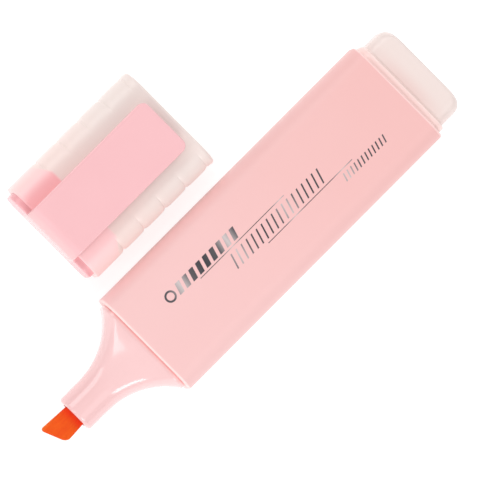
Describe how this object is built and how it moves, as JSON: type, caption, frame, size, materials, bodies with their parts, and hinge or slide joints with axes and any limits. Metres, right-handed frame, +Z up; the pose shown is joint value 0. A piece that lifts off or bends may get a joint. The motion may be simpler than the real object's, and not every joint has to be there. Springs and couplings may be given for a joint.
{
  "type": "highlighter",
  "caption": "Flat-bodied chisel-nib highlighter with a flared nose, a posting plug, and a grooved translucent cap with a clip lying beside it.",
  "frame": {"origin": "centre of the barrel's flat underside, which is the face the pen lies on", "axes": "+X along the pen from the nib to the rear plug, +Y across the pen towards the cap that lies beside it, +Z up, out of the barrel's broad top face"},
  "size_m": [0.1059, 0.0538, 0.0186],
  "materials": {
    "barrel_plastic": "satin pastel pink polypropylene",
    "nose_plastic": "glossy pastel pink polypropylene",
    "nib_felt": "bonded fibre soaked with orange ink",
    "reservoir_fibre": "bonded fibre bundle soaked with ink",
    "film": "clear wrap",
    "plug_plastic": "frosted translucent polypropylene",
    "cap_plastic": "frosted translucent polypropylene",
    "clip_plastic": "semi-gloss pastel pink polypropylene",
    "seal_plastic": "natural polyethylene"
  },
  "bodies": {
    "pen": {"barrel": "barrel_plastic", "nose_cone": "nose_plastic", "nib": "nib_felt", "ink_reservoir": "reservoir_fibre", "reservoir_film": "film", "rear_plug": "plug_plastic"},
    "cap": {"cap_shell": "cap_plastic", "cap_end_plug": "clip_plastic", "cap_inner_seal": "seal_plastic"},
    "clip": {"cap_clip": "clip_plastic"}
  },
  "joints": [
    {"name": "cap_slide", "type": "slide", "parent": "pen", "child": "cap", "axis": [-1, 0, 0], "range_m": [0, 0.064]},
    {"name": "clip_flex", "type": "hinge", "parent": "cap", "child": "clip", "pos_m": [-0.03415, 0.02875, 0.0152], "axis": [0, -1, 0], "range_deg": [0, 5], "stiffness_Nm_per_rad": 2.4}
  ]
}
